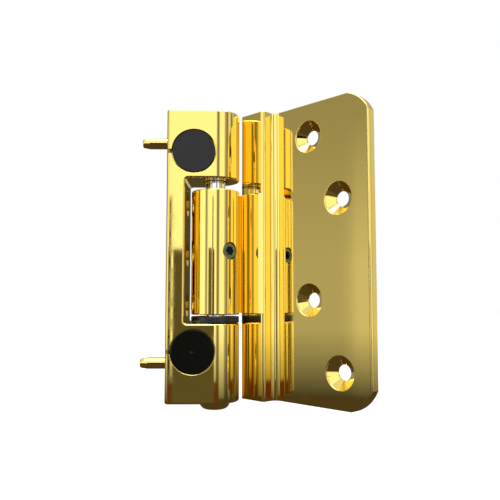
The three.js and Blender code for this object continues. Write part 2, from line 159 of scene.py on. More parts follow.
def polished_gold():
    """Mirror gold plate: faint long waves from polishing, hairline marks and a little haze."""
    material, shader = new_material("polished_gold", (0.95, 0.73, 0.2), 1, 0.05)
    haze = add_noise(material, 260)
    spread(material, haze, 0.025, 0.06, shader.inputs["Roughness"])
    waves = add_bump(material, shader, add_noise(material, 55, 1.0), 0.03, 0.01 * MM)
    hairs = add_noise(material, 900, 2.0, (1, 1, 0.06))
    add_bump(material, shader, hairs, 0.02, 0.002 * MM, waves)
    return material


def ground_steel():
    material, shader = new_material("pin_steel", (0.78, 0.78, 0.8), 1, 0.14)
    rings = add_noise(material, 1500, 2.0, (0.1, 0.1, 1))
    spread(material, rings, 0.08, 0.2, shader.inputs["Roughness"])
    add_bump(material, shader, rings, 0.08, 0.01 * MM)
    return material


def dark_steel():
    """Blackened steel with a cold blue-grey film of oil."""
    material, shader = new_material("dark_steel", (0.2, 0.26, 0.31), 1, 0.3)
    film = add_noise(material, 700)
    spread(material, film, 0.18, 0.42, shader.inputs["Roughness"])
    add_bump(material, shader, film, 0.15, 0.02 * MM)
    return material


def black_plastic():
    """Satin moulded plastic with a fine spark-eroded grain."""
    material, shader = new_material("cap_plastic", (0.0018, 0.0022, 0.0018), 0, 0.24)
    shader.inputs["Specular IOR Level"].default_value = 0.35
    spread(material, add_noise(material, 400), 0.06, 0.11, shader.inputs["Roughness"])
    add_bump(material, shader, add_noise(material, 4000, 2.0), 0.04, 0.003 * MM)
    return material


def black_nylon():
    material, shader = new_material("black_nylon", (0.008, 0.009, 0.01), 0, 0.3)
    spread(material, add_noise(material, 900), 0.22, 0.42, shader.inputs["Roughness"])
    add_bump(material, shader, add_noise(material, 2200, 2.0), 0.2, 0.03 * MM)
    return material


MATERIALS = {
    "polished_gold": polished_gold(),
    "pin_steel": ground_steel(),
    "dark_steel": dark_steel(),
    "cap_plastic": black_plastic(),
    "black_nylon": black_nylon(),
}


# ---------------------------------------------------------------- mesh tools

UP = Vector((0, 0, 1))
ALONG_X = Vector((1, 0, 0))
ALONG_Y = Vector((0, 1, 0))
ORIGIN = Vector((0, 0, 0))
RIGHT_ANGLE = math.pi / 2
ROUND_STEPS = 160
ARC_STEPS = 48
SMALL_ARC_STEPS = 10
LIP_STEPS = 5
OVERCUT = 1 * MM
SMOOTH_ANGLE = math.radians(20)
SHARP_ANGLE = math.radians(25)
BEVEL_STEPS = 6
MERGE_DISTANCE = 0.002 * MM
FLAT_ANGLE = math.radians(0.2)
BEVEL_WEIGHT = "bevel_weight_edge"


def to_object(name, mesh_data):
    mesh = bpy.data.meshes.new(name)
    mesh_data.to_mesh(mesh)
    mesh_data.free()
    piece = bpy.data.objects.new(name, mesh)
    bpy.context.scene.collection.objects.link(piece)
    return piece


def arc(centre, radius, start, end, steps):
    """Points on an arc, from a start to an end angle in radians."""
    angles = [start + (end - start) * i / steps for i in range(steps + 1)]
    return [(centre[0] + radius * math.cos(a), centre[1] + radius * math.sin(a)) for a in angles]


def prism(name, outline, low, high, axis="Z"):
    """An outline drawn anticlockwise and pushed along Z, or along Y for an (x, z) outline."""
    mesh = bmesh.new()
    if axis == "Z":
        corners = [mesh.verts.new((x, y, low)) for x, y in outline]
        push = Vector((0, 0, high - low))
    else:
        corners = [mesh.verts.new((x, low, z)) for x, z in outline]
        push = Vector((0, high - low, 0))
    face = mesh.faces.new(corners)
    raised = bmesh.ops.extrude_face_region(mesh, geom=[face])["geom"]
    moved = [item for item in raised if isinstance(item, bmesh.types.BMVert)]
    bmesh.ops.translate(mesh, vec=push, verts=moved)
    bmesh.ops.recalc_face_normals(mesh, faces=mesh.faces)
    return to_object(name, mesh)


def turned(name, profile, axis=UP, base=ORIGIN, steps=ROUND_STEPS):
    """A solid of revolution from (radius, height) pairs; a radius of 0 closes an end."""
    mesh = bmesh.new()
    rings = []
    for radius, height in profile:
        if radius == 0:
            rings.append([mesh.verts.new((0, 0, height))])
            continue
        turns = [2 * math.pi * i / steps for i in range(steps)]
        rings.append([mesh.verts.new((radius * math.cos(t), radius * math.sin(t), height)) for t in turns])
    for lower, upper in zip(rings, rings[1:]):
        for i in range(steps):
            j = (i + 1) % steps
            below = [lower[i % len(lower)], lower[j % len(lower)]]
            above = [upper[j % len(upper)], upper[i % len(upper)]]
            mesh.faces.new(list(dict.fromkeys(below + above)))
    bmesh.ops.recalc_face_normals(mesh, faces=mesh.faces)
    turn = axis.to_track_quat("Z", "Y").to_matrix().to_4x4()
    mesh.transform(Matrix.Translation(base) @ turn)
    return to_object(name, mesh)


def rod(radius, low, high, axis=UP, base=ORIGIN, top_radius=None, steps=ROUND_STEPS):
    """A plain cylinder or cone, used to cut or join."""
    top = radius if top_radius is None else top_radius
    return turned("rod", [(0, low), (radius, low), (top, high), (0, high)], axis, base, steps)


def hole_cutter(radius, floor, surface, lip, axis=UP, base=ORIGIN, top_radius=None):
    """A rod that cuts down from a surface to a floor and leaves a rounded lip; it may widen like a sink."""
    top = radius if top_radius is None else top_radius
    inward = 1 if surface > floor else -1
    profile = [(0, floor), (radius, floor)]
    for i in range(LIP_STEPS + 1):
        turn = RIGHT_ANGLE * i / LIP_STEPS
        profile.append((top + lip * (1 - math.cos(turn)), surface - inward * lip * (1 - math.sin(turn))))
    profile += [(top + lip, surface + inward * OVERCUT), (0, surface + inward * OVERCUT)]
    return turned("hole", profile, axis, base)


def apply_modifiers(piece):
    bpy.context.view_layer.update()
    graph = bpy.context.evaluated_depsgraph_get()
    mesh = bpy.data.meshes.new_from_object(piece.evaluated_get(graph))
    old = piece.data
    piece.modifiers.clear()
    piece.data = mesh
    bpy.data.meshes.remove(old)


def combine(piece, other, operation):
    """Cuts or joins another solid, which is used up."""
    modifier = piece.modifiers.new("combine", "BOOLEAN")
    modifier.operation = operation
    modifier.object = other
    modifier.solver = "MANIFOLD"
    apply_modifiers(piece)
    bpy.data.objects.remove(other)


def cut(piece, *others):
    for other in others:
        combine(piece, other, "DIFFERENCE")


def join(piece, *others):
    for other in others:
        combine(piece, other, "UNION")


def clean(piece):
    """Merges doubled points and dissolves the seams that booleans leave in flat faces."""
    mesh = bmesh.new()
    mesh.from_mesh(piece.data)
    bmesh.ops.remove_doubles(mesh, verts=mesh.verts, dist=MERGE_DISTANCE)
    bmesh.ops.dissolve_limit(mesh, angle_limit=FLAT_ANGLE, verts=mesh.verts, edges=mesh.edges)
    mesh.to_mesh(piece.data)
    mesh.free()


def soften(piece, width_at, widest):
    """Rounds each sharp edge by the radius that width_at gives for its middle, up to the widest one."""
    mesh = bmesh.new()
    mesh.from_mesh(piece.data)
    layers = mesh.edges.layers.float
    layer = layers.get(BEVEL_WEIGHT) or layers.new(BEVEL_WEIGHT)
    for edge in mesh.edges:
        if len(edge.link_faces) == 2 and edge.calc_face_angle(0) > SHARP_ANGLE:
            middle = (edge.verts[0].co + edge.verts[1].co) / 2
            along = (edge.verts[1].co - edge.verts[0].co).normalized()
            edge[layer] = width_at(middle, along) / widest
    mesh.to_mesh(piece.data)
    mesh.free()
    bevel = piece.modifiers.new("bevel", "BEVEL")
    bevel.limit_method = "WEIGHT"
    bevel.width = widest
    bevel.segments = BEVEL_STEPS
    bevel.miter_outer = "MITER_ARC"
    bevel.use_clamp_overlap = False
    apply_modifiers(piece)
    clean(piece)


def smooth(piece):
    """Sets each corner's normal from the large faces round it, so flat faces stay flat."""
    mesh = piece.data
    around = [[] for _ in mesh.vertices]
    for face in mesh.polygons:
        face.use_smooth = True
        for index in face.vertices:
            around[index].append(face)
    nearest = math.cos(SMOOTH_ANGLE)
    normals = []
    for face in mesh.polygons:
        for index in face.vertices:
            total = Vector()
            for other in around[index]:
                if other.normal.dot(face.normal) >= nearest:
                    total += other.normal * (other.area / MM ** 2) ** 2
            normals.append(total.normalized() if total.length > 0 else face.normal)
    mesh.normals_split_custom_set(normals)


def finish_piece(piece, place, body, slot, *nodes):
    """Puts a piece in the row frame, gives it its material and body, and hides the CAD nodes that it stands
    for.
    """
    piece.data.transform(place)
    piece.data.update()
    smooth(piece)
    piece.data.materials.clear()
    piece.data.materials.append(MATERIALS[slot])
    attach(piece, body)
    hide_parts(*nodes)


# ---------------------------------------------------------------- frame side

NOSE_RADIUS = 8.4 * MM
NOSE_BACK_ANGLE = math.radians(62)
NOSE_BACK_X = -2.8 * MM
SPINE_FRONT_THICKNESS = 6.3 * MM
SPINE_BACK_THICKNESS = 6.9 * MM
MOUTH_LOW = -23.4 * MM
MOUTH_HIGH = 26.2 * MM
MOUTH_FILLET = 1 * MM
FRONT_CORNER_ROUND = 1.2 * MM
BACK_CORNER_ROUND = 0.9 * MM
END_ROUND = 0.7 * MM
MOUTH_ROUND = 0.7 * MM
TOUCHING = 0.02 * MM
UPRIGHT = 0.99
HOLE_LIP = 0.2 * MM
ARM_BORE = 4.35 * MM
PLUG_BORE = 5.1 * MM
PLUG_BORE_DEPTH = 6 * MM
ADJUSTER_BORE = 5.3 * MM
ADJUSTER_BORE_TOP = -35.9 * MM
CAP_RECESS_RADIUS = 7.6 * MM
CAP_RECESS_DEPTH = 2.7 * MM
CLAMP_HOLE_RADIUS = 2.6 * MM
CLAMP_HOLE_DEPTH = 13.3 * MM
NOTCH_REACH = 1.2 * MM
NOTCH_HEIGHT = 1.5 * MM
NOTCH_DEPTH = 1 * MM
NOTCH_SHALLOW = 0.2 * MM
SPINE_HOLE_HEIGHTS = [-16.75 * MM, 1 * MM, 18.75 * MM]
SPINE_HOLE_Y = 1.2 * MM
SPINE_HOLE_RADIUS = 2.7 * MM
SPINE_SINK_RADIUS = 4.6 * MM
SPINE_SINK_DEPTH = 2 * MM
SPIGOT_HOLE_RADIUS = 2 * MM
SPIGOT_HOLE_DEPTH = 5.3 * MM

BRACKET_LOW, BRACKET_HIGH = pin_box("frame_bracket")
MOUNT_X = BRACKET_LOW.x
FRONT_Y = BRACKET_LOW.y
BACK_Y = BRACKET_HIGH.y


def node_centre(node):
    low, high = pin_box(node)
    return (low + high) / 2


def bracket_outline():
    front = (MOUNT_X + FRONT_CORNER_ROUND, FRONT_Y + FRONT_CORNER_ROUND)
    back = (MOUNT_X + BACK_CORNER_ROUND, BACK_Y - BACK_CORNER_ROUND)
    outline = arc(front, FRONT_CORNER_ROUND, 2 * RIGHT_ANGLE, 3 * RIGHT_ANGLE, SMALL_ARC_STEPS)
    outline += arc((0, 0), NOSE_RADIUS, -RIGHT_ANGLE, NOSE_BACK_ANGLE, 2 * ARC_STEPS)
    outline += [(NOSE_BACK_X, BACK_Y)]
    outline += arc(back, BACK_CORNER_ROUND, RIGHT_ANGLE, 2 * RIGHT_ANGLE, SMALL_ARC_STEPS)
    return outline


def mouth_outline():
    spine_x = MOUNT_X + SPINE_FRONT_THICKNESS
    open_x = NOSE_RADIUS + OVERCUT
    centre_x = spine_x + MOUTH_FILLET
    top = (centre_x, MOUTH_HIGH - MOUTH_FILLET)
    bottom = (centre_x, MOUTH_LOW + MOUTH_FILLET)
    upper = arc(top, MOUTH_FILLET, RIGHT_ANGLE, 2 * RIGHT_ANGLE, SMALL_ARC_STEPS)
    lower = arc(bottom, MOUTH_FILLET, 2 * RIGHT_ANGLE, 3 * RIGHT_ANGLE, SMALL_ARC_STEPS)
    return [(open_x, MOUTH_LOW), (open_x, MOUTH_HIGH)] + upper + lower


def mouth_cutter():
    """The mouth between the arms, sheared because the spine grows thicker towards the back."""
    cutter = prism("mouth", mouth_outline(), FRONT_Y - OVERCUT, BACK_Y + OVERCUT, "Y")
    lean = (SPINE_BACK_THICKNESS - SPINE_FRONT_THICKNESS) / (BACK_Y - FRONT_Y)
    for point in cutter.data.vertices:
        point.co.x += lean * (point.co.y - FRONT_Y)
    return cutter


def bracket_edge(middle, along):
    """The rounding of a bracket edge: the outline at both ends, the mouth, and the upright back corner."""
    radius = math.hypot(middle.x, middle.y)
    on_front = abs(middle.y - FRONT_Y) < TOUCHING
    on_back = abs(middle.y - BACK_Y) < TOUCHING
    at_end = min(abs(middle.z - BRACKET_LOW.z), abs(middle.z - BRACKET_HIGH.z)) < TOUCHING
    at_arm = min(abs(middle.z - MOUTH_LOW), abs(middle.z - MOUTH_HIGH)) < TOUCHING
    in_mouth = MOUTH_LOW - TOUCHING < middle.z < MOUTH_HIGH + TOUCHING
    outside_bore = radius > PLUG_BORE + OVERCUT
    if at_end:
        return END_ROUND if outside_bore else 0
    if in_mouth and (on_front or on_back):
        return MOUTH_ROUND
    if at_arm and outside_bore:
        return MOUTH_ROUND
    return END_ROUND if on_back and abs(along.z) > UPRIGHT else 0


def cap_cutters(node):
    """The recess, the ramped pry notch and the screw hole behind one cap."""
    centre = node_centre(node)
    base = Vector((centre.x, 0, centre.z))
    recess_floor = FRONT_Y + CAP_RECESS_DEPTH
    rim = centre.x - CAP_RECESS_RADIUS
    notch = [
        (rim - NOTCH_REACH, FRONT_Y - OVERCUT),
        (centre.x, FRONT_Y - OVERCUT),
        (centre.x, FRONT_Y + NOTCH_DEPTH),
        (rim, FRONT_Y + NOTCH_DEPTH),
        (rim - NOTCH_REACH, FRONT_Y + NOTCH_SHALLOW),
    ]
    low, high = centre.z - NOTCH_HEIGHT / 2, centre.z + NOTCH_HEIGHT / 2
    return [
        hole_cutter(CAP_RECESS_RADIUS, recess_floor, FRONT_Y, HOLE_LIP, ALONG_Y, base),
        prism("notch", notch, low, high),
        rod(CLAMP_HOLE_RADIUS, FRONT_Y, recess_floor + CLAMP_HOLE_DEPTH, ALONG_Y, base),
    ]


def spine_cutters(height):
    base = Vector((0, SPINE_HOLE_Y, height))
    inner_x = MOUNT_X + (SPINE_FRONT_THICKNESS + SPINE_BACK_THICKNESS) / 2
    sink_floor = inner_x - SPINE_SINK_DEPTH
    slope = (SPINE_SINK_RADIUS - SPINE_HOLE_RADIUS) / SPINE_SINK_DEPTH
    wide = SPINE_SINK_RADIUS + slope * OVERCUT
    return [
        rod(SPINE_HOLE_RADIUS, MOUNT_X - OVERCUT, inner_x + OVERCUT, ALONG_X, base),
        rod(SPINE_HOLE_RADIUS, sink_floor, inner_x + OVERCUT, ALONG_X, base, wide),
    ]


def make_bracket():
    piece = prism("frame_bracket_body", bracket_outline(), BRACKET_LOW.z, BRACKET_HIGH.z)
    cut(piece, mouth_cutter())
    clean(piece)
    soften(piece, bracket_edge, END_ROUND)
    cut(piece, rod(ARM_BORE, BRACKET_LOW.z - OVERCUT, BRACKET_HIGH.z + OVERCUT))
    cut(piece, hole_cutter(PLUG_BORE, BRACKET_HIGH.z - PLUG_BORE_DEPTH, BRACKET_HIGH.z, HOLE_LIP))
    cut(piece, hole_cutter(ADJUSTER_BORE, ADJUSTER_BORE_TOP, BRACKET_LOW.z, HOLE_LIP))
    for node in ("upper_cap", "lower_cap"):
        cut(piece, *cap_cutters(node))
    for height in SPINE_HOLE_HEIGHTS:
        cut(piece, *spine_cutters(height))
    for node in ("upper_spigot", "lower_spigot"):
        centre = node_centre(node)
        base = Vector((0, centre.y, centre.z))
        cut(piece, rod(SPIGOT_HOLE_RADIUS, MOUNT_X - OVERCUT, MOUNT_X + SPIGOT_HOLE_DEPTH, ALONG_X, base))
    clean(piece)
    finish_piece(piece, TO_PIN, "bracket", "polished_gold", "frame_bracket")


SPIGOT_TAPER = 2.5 * MM
SPIGOT_TIP_RADIUS = 1.55 * MM
SPIGOT_TIP_ROUND = 0.25 * MM


def make_spigot(node):
    low, high = pin_box(node)
    centre = (low + high) / 2
    radius = (high.z - low.z) / 2
    profile = [
        (0, low.x),
        (SPIGOT_TIP_RADIUS - SPIGOT_TIP_ROUND, low.x),
        (SPIGOT_TIP_RADIUS, low.x + SPIGOT_TIP_ROUND),
        (radius, low.x + SPIGOT_TAPER),
        (radius, high.x),
        (0, high.x),
    ]
    piece = turned(node + "_dowel", profile, ALONG_X, Vector((0, centre.y, centre.z)))
    finish_piece(piece, TO_PIN, "bracket", "polished_gold", node)


CAP_RIM_ROUND = 0.25 * MM
CAP_DISH = 0.08 * MM
CAP_DIMPLE_RADIUS = 0.9 * MM
CAP_DIMPLE_DEPTH = 0.15 * MM
CAP_WALL = 1 * MM
CAP_DISC = 1.6 * MM
SKIRT_INSET = 0.5 * MM
DIMPLE_FLOOR_SHARE = 0.6
DIMPLE_EDGE_SHARE = 0.8
DISH_REACH = 0.6
DISH_SHARE = 0.5


def make_cap(node):
    """A push-in cap, very slightly dished, with a moulding dimple and a skirt behind."""
    low, high = pin_box(node)
    centre = (low + high) / 2
    radius = (high.z - low.z) / 2
    front, back = low.y, high.y
    skirt = radius - SKIRT_INSET
    rim = [
        (radius - CAP_RIM_ROUND * (1 - math.sin(a)), front + CAP_RIM_ROUND * (1 - math.cos(a)))
        for a in (RIGHT_ANGLE * i / SMALL_ARC_STEPS for i in range(SMALL_ARC_STEPS + 1))
    ]
    profile = [
        (0, front + CAP_DIMPLE_DEPTH),
        (CAP_DIMPLE_RADIUS * DIMPLE_FLOOR_SHARE, front + CAP_DIMPLE_DEPTH * DIMPLE_EDGE_SHARE),
        (CAP_DIMPLE_RADIUS, front + CAP_DISH),
        (radius * DISH_REACH, front + CAP_DISH * DISH_SHARE),
    ]
    profile += rim
    profile += [
        (radius, front + CAP_DISC),
        (skirt, front + CAP_DISC),
        (skirt, back),
        (skirt - CAP_WALL, back),
        (skirt - CAP_WALL, front + CAP_DISC),
        (0, front + CAP_DISC),
    ]
    piece = turned(node + "_cover", profile, ALONG_Y, Vector((centre.x, 0, centre.z)))
    finish_piece(piece, TO_PIN, node, "cap_plastic", node)


WASHER_BORE = 3.6 * MM
WASHER_ROUND = 0.35 * MM


def make_washer():
    low, high = pin_box("thrust_washer")
    radius = high.x
    inner = radius - WASHER_ROUND
    profile = [(WASHER_BORE, low.z), (inner, low.z)]
    profile += arc((inner, low.z + WASHER_ROUND), WASHER_ROUND, -RIGHT_ANGLE, 0, SMALL_ARC_STEPS)
    profile += arc((inner, high.z - WASHER_ROUND), WASHER_ROUND, 0, RIGHT_ANGLE, SMALL_ARC_STEPS)
    profile += [(WASHER_BORE, high.z), (WASHER_BORE, low.z)]
    piece = turned("thrust_washer_ring", list(dict.fromkeys(profile)) + [(WASHER_BORE, low.z)])
    clean(piece)
    finish_piece(piece, TO_PIN, "bracket", "black_nylon", "thrust_washer")


ADJUSTER_DOME = 2.4 * MM
ADJUSTER_HEX = 4 * MM
ADJUSTER_HEX_DEPTH = 4 * MM
HEX_SIDES = 6


def hex_socket(across_flats, low, high, axis=UP, base=ORIGIN):
    return rod(across_flats / math.sqrt(3), low, high, axis, base, steps=HEX_SIDES)


def make_adjuster():
    low, high = pin_box("height_adjuster")
    radius = high.x
    centre = (radius - ADJUSTER_DOME, low.z + ADJUSTER_DOME)
    dome = arc(centre, ADJUSTER_DOME, -RIGHT_ANGLE, 0, 2 * SMALL_ARC_STEPS)
    profile = [(0, low.z)] + dome + [(radius, high.z), (0, high.z)]
    piece = turned("height_adjuster_screw", profile)
    cut(piece, hex_socket(ADJUSTER_HEX, low.z - OVERCUT, low.z + ADJUSTER_HEX_DEPTH))
    finish_piece(piece, TO_PIN, "adjuster", "polished_gold", "height_adjuster")


# ---------------------------------------------------------------- leaf side

PIN_RADIUS = 3.5 * MM
PIN_CHAMFER = 0.6 * MM
BARREL_RADIUS = 8.4 * MM
BARREL_LOW = -20.5 * MM
BARREL_HIGH = 22.5 * MM
BARREL_BORE = 3.6 * MM
BARREL_ROUND = 0.35 * MM
NECK_LOW = -20 * MM
NECK_HIGH = 21.6 * MM
NECK_FRONT = 7.4 * MM
NECK_BACK = 14.35 * MM
NECK_TANGENT = math.radians(128.3)
NECK_CORNER_IN = 0.3 * MM
NECK_CORNER_BACK = 0.4 * MM
LEAF_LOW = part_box("door_leaf")[0].z - PIN_AXIS.z
LEAF_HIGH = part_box("door_leaf")[1].z - PIN_AXIS.z
BAR_NEAR = 4.61 * MM
BAR_FAR = 15.2 * MM
BAR_FRONT = 8.57 * MM
RIDGE_ROUND = 1.3 * MM
FOOT_FILLET = 2.5 * MM
PLATE_FRONT = 14.35 * MM
PLATE_BACK = 17.35 * MM
PLATE_END = 55.05 * MM
PLATE_END_ROUND = 0.8 * MM
CORNER_START = 46.85 * MM
CORNER_DROP = 7.1 * MM
CORNER_RADIUS = 12.5 * MM
PLATE_EDGE_ROUND = 0.25 * MM
HOLE_NEAR = 30.6 * MM
HOLE_FAR = 42.8 * MM
HOLE_RISES = [39.1 * MM, 16.7 * MM, -16 * MM, -38.75 * MM]
HOLE_RADIUS = 2.5 * MM
SINK_RADIUS = 5.6 * MM
SINK_DEPTH = 2.5 * MM
SINK_LIP = 0.35 * MM
GRUB_LEAN = -math.radians(3)
GRUB_HEIGHT = 1.3 * MM
GRUB_RADIUS = 2.9 * MM
GRUB_HOLE = 3 * MM
GRUB_INNER = 3.8 * MM
GRUB_OUTER = 7.9 * MM
GRUB_ROUND = 0.3 * MM
GRUB_HEX = 3 * MM
GRUB_HEX_DEPTH = 2.4 * MM


def leaf_section():
    ridge = (BAR_FAR - RIDGE_ROUND, BAR_FRONT + RIDGE_ROUND)
    foot = (BAR_FAR + FOOT_FILLET, PLATE_FRONT - FOOT_FILLET)
    end = (PLATE_END - PLATE_END_ROUND, PLATE_FRONT + PLATE_END_ROUND)
    outline = [(BAR_NEAR, BAR_FRONT)]
    outline += arc(ridge, RIDGE_ROUND, -RIGHT_ANGLE, 0, 2 * SMALL_ARC_STEPS)
    outline += arc(foot, FOOT_FILLET, 2 * RIGHT_ANGLE, RIGHT_ANGLE, 2 * SMALL_ARC_STEPS)
    outline += arc(end, PLATE_END_ROUND, -RIGHT_ANGLE, 0, 2 * SMALL_ARC_STEPS)
    return outline + [(PLATE_END, PLATE_BACK), (BAR_NEAR, PLATE_BACK)]


def leaf_outline():
    """The leaf seen from the front, as (x, z), with a wide arc on each free corner."""
    start = Vector((CORNER_START, LEAF_HIGH))
    end = Vector((PLATE_END, LEAF_HIGH - CORNER_DROP))
    chord = end - start
    rise = math.sqrt(CORNER_RADIUS ** 2 - chord.length_squared / 4)
    centre = (start + end) / 2 + Vector((chord.y, -chord.x)).normalized() * rise
    middle = (LEAF_HIGH + LEAF_LOW) / 2
    first = math.atan2(start.y - centre.y, start.x - centre.x)
    last = math.atan2(end.y - centre.y, end.x - centre.x)
    upper = arc(centre, CORNER_RADIUS, first, last, ARC_STEPS)
    lower = arc((centre.x, 2 * middle - centre.y), CORNER_RADIUS, -last, -first, ARC_STEPS)
    return [(0, LEAF_HIGH)] + upper + lower + [(0, LEAF_LOW)]


def neck_outline():
    tangent = (BARREL_RADIUS * math.cos(NECK_TANGENT), BARREL_RADIUS * math.sin(NECK_TANGENT))
    return [
        (0, NECK_FRONT),
        (BAR_FAR - RIDGE_ROUND, NECK_FRONT),
        (BAR_FAR - NECK_CORNER_IN, BAR_FRONT + NECK_CORNER_BACK),
        (BAR_FAR - RIDGE_ROUND, NECK_BACK),
        (BAR_NEAR, NECK_BACK),
        tangent,
    ]


def plate_edge(middle, _along):
    """The rounding of the flat leaf's outline, before the barrel and the holes are made."""
    at_end = min(abs(middle.z - LEAF_LOW), abs(middle.z - LEAF_HIGH)) < TOUCHING
    return PLATE_EDGE_ROUND if at_end or middle.x > CORNER_START else 0


def make_leaf():
    piece = prism("door_leaf_body", leaf_section(), LEAF_LOW, LEAF_HIGH)
    trimmer = prism("trimmer", leaf_outline(), -OVERCUT, PLATE_BACK + OVERCUT, "Y")
    combine(piece, trimmer, "INTERSECT")
    clean(piece)
    soften(piece, plate_edge, PLATE_EDGE_ROUND)
    join(piece, prism("neck", neck_outline(), NECK_LOW, NECK_HIGH))
    join(piece, barrel())
    cut(piece, rod(BARREL_BORE, BARREL_LOW - OVERCUT, BARREL_HIGH + OVERCUT))
    lean = Vector((math.cos(GRUB_LEAN), math.sin(GRUB_LEAN), 0))
    cut(piece, rod(GRUB_HOLE, 0, BARREL_RADIUS + OVERCUT, lean, Vector((0, 0, GRUB_HEIGHT))))
    middle = (LEAF_HIGH + LEAF_LOW) / 2
    for i, rise in enumerate(HOLE_RISES):
        base = Vector((HOLE_FAR if i % 2 else HOLE_NEAR, 0, middle + rise))
        cut(piece, rod(HOLE_RADIUS, PLATE_FRONT - OVERCUT, PLATE_BACK + OVERCUT, ALONG_Y, base))
        floor = PLATE_FRONT + SINK_DEPTH
        top = SINK_RADIUS - SINK_LIP
        cut(piece, hole_cutter(HOLE_RADIUS, floor, PLATE_FRONT, SINK_LIP, ALONG_Y, base, top))
    clean(piece)
    finish_piece(piece, TO_LEAF, "leaf", "polished_gold", "door_leaf")


def barrel():
    """The knuckle barrel, with a rounded rim at each end."""
    inner = BARREL_RADIUS - BARREL_ROUND
    profile = [(0, BARREL_LOW)]
    profile += arc((inner, BARREL_LOW + BARREL_ROUND), BARREL_ROUND, -RIGHT_ANGLE, 0, LIP_STEPS)
    profile += arc((inner, BARREL_HIGH - BARREL_ROUND), BARREL_ROUND, 0, RIGHT_ANGLE, LIP_STEPS)
    return turned("barrel", profile + [(0, BARREL_HIGH)])


def make_pin():
    low, high = pin_box("hinge_pin")
    profile = [
        (0, low.z),
        (PIN_RADIUS - PIN_CHAMFER, low.z),
        (PIN_RADIUS, low.z + PIN_CHAMFER),
        (PIN_RADIUS, high.z - PIN_CHAMFER),
        (PIN_RADIUS - PIN_CHAMFER, high.z),
        (0, high.z),
    ]
    finish_piece(turned("hinge_pin_rod", profile), TO_PIN, "leaf", "pin_steel", "hinge_pin")


def make_grub():
    lean = Vector((math.cos(GRUB_LEAN), math.sin(GRUB_LEAN), 0))
    base = Vector((0, 0, GRUB_HEIGHT))
    profile = [
        (0, GRUB_INNER),
        (GRUB_RADIUS, GRUB_INNER),
        (GRUB_RADIUS, GRUB_OUTER - GRUB_ROUND),
        (GRUB_RADIUS - GRUB_ROUND, GRUB_OUTER),
        (0, GRUB_OUTER),
    ]
    piece = turned("grub_screw_body", profile, lean, base)
    cut(piece, hex_socket(GRUB_HEX, GRUB_OUTER - GRUB_HEX_DEPTH, GRUB_OUTER + OVERCUT, lean, base))
    finish_piece(piece, TO_LEAF, "grub", "dark_steel", "grub_screw")


# ---------------------------------------------------------------- carried-over CAD pieces

CARRIED = {
    "upper_bush": "black_nylon",
    "lower_bush": "black_nylon",
    "top_plug": "polished_gold",
    "upper_clamp_screw": "dark_steel",
    "lower_clamp_screw": "dark_steel",
}


def dress_carried():
    for node, slot in CARRIED.items():
        mesh = frame["nodes"][node].data
        mesh.materials.clear()
        mesh.materials.append(MATERIALS[slot])


# ---------------------------------------------------------------- studio

STUDIO_RADIUS = 0.7
STUDIO_LOW = -0.16
STUDIO_HIGH = 0.75
# Bands of light round the hinge, each from and to in degrees from the front, positive to the right, and its
# strength. The light changes evenly from one band to the next.
BANDS = {
    "far_left": (-180, -130, 0.3),
    "left_shade": (-127, -113, 0.14),
    "left_wall": (-106, -80.5, 0.46),
    "wall_edge": (-79, -77, 0.65),
    "front_left": (-75, -50, 1.35),
    "left_gap": (-43, -39, 0.36),
    "front_near": (-31, 4.5, 1.3),
    "front_gap": (11, 17, 0.27),
    "front_right": (24, 42, 1.25),
    "right_soft": (48, 51, 0.5),
    "right_gap": (56, 62, 0.26),
    "right_strip": (68, 75, 0.9),
    "side_gap": (81, 86, 0.22),
    "side_strip": (93, 96, 0.75),
    "side_shade": (102, 107, 0.35),
    "back_right": (116, 180, 0.5),
}
# The wall fades towards its foot out to FOOT_SPAN degrees either side of the front, and its left side also
# fades towards the top.
FOOT_LIGHT = 0.15
FOOT_TOP = -0.06
FOOT_SPAN = 112
TOP_FADE_LOW = 0.04
TOP_FADE_HIGH = 0.27
TOP_LIGHT = 0.72
WALL_HEIGHTS = [STUDIO_LOW, FOOT_TOP, TOP_FADE_LOW, TOP_FADE_HIGH, STUDIO_HIGH]
OLIVE = (1, 0.9, 0.62)
KHAKI = (1, 0.86, 0.4)
MAROON = (1, 0.32, 0.12)
WHITE = (1, 1, 1)
CEILING_STRENGTH = 0.9
CEILING_STEPS = 48


def band_light(turn):
    """The strength of the studio wall at a number of degrees from the front."""
    before = None
    for start, end, strength in BANDS.values():
        if turn < start:
            share = (turn - before[1]) / (start - before[1])
            return before[2] + share * (strength - before[2])
        if turn <= end:
            return strength
        before = (start, end, strength)
    return before[2]


def glow(name, colour, strength, attribute=None):
    """An even glow, or one whose strength comes from a mesh attribute."""
    material = bpy.data.materials.new(name)
    material.use_nodes = True
    nodes, links = material.node_tree.nodes, material.node_tree.links
    nodes.clear()
    emission = nodes.new("ShaderNodeEmission")
    emission.inputs["Color"].default_value = (*colour, 1)
    emission.inputs["Strength"].default_value = strength
    output = nodes.new("ShaderNodeOutputMaterial")
    links.new(emission.outputs["Emission"], output.inputs["Surface"])
    if attribute is not None:
        reader = nodes.new("ShaderNodeAttribute")
        reader.attribute_name = attribute
        links.new(reader.outputs["Fac"], emission.inputs["Strength"])
    return material


def hide_from_camera(card):
    card.visible_camera = False
    card.visible_shadow = False
    card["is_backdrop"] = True


def wall_mesh(start, end, radius, heights):
    """An upright curved sheet round the pin axis, with a column of points at every degree."""
    mesh = bmesh.new()
    count = max(2, round(end - start))
    columns = []
    for i in range(count + 1):
        turn = math.radians(start + (end - start) * i / count)
        x = PIN_AXIS.x + radius * math.sin(turn)
        y = PIN_AXIS.y - radius * math.cos(turn)
        columns.append([mesh.verts.new((x, y, z)) for z in heights])
    for left, right in zip(columns, columns[1:]):
        for i in range(len(heights) - 1):
            mesh.faces.new((left[i], right[i], right[i + 1], left[i + 1]))
    return mesh


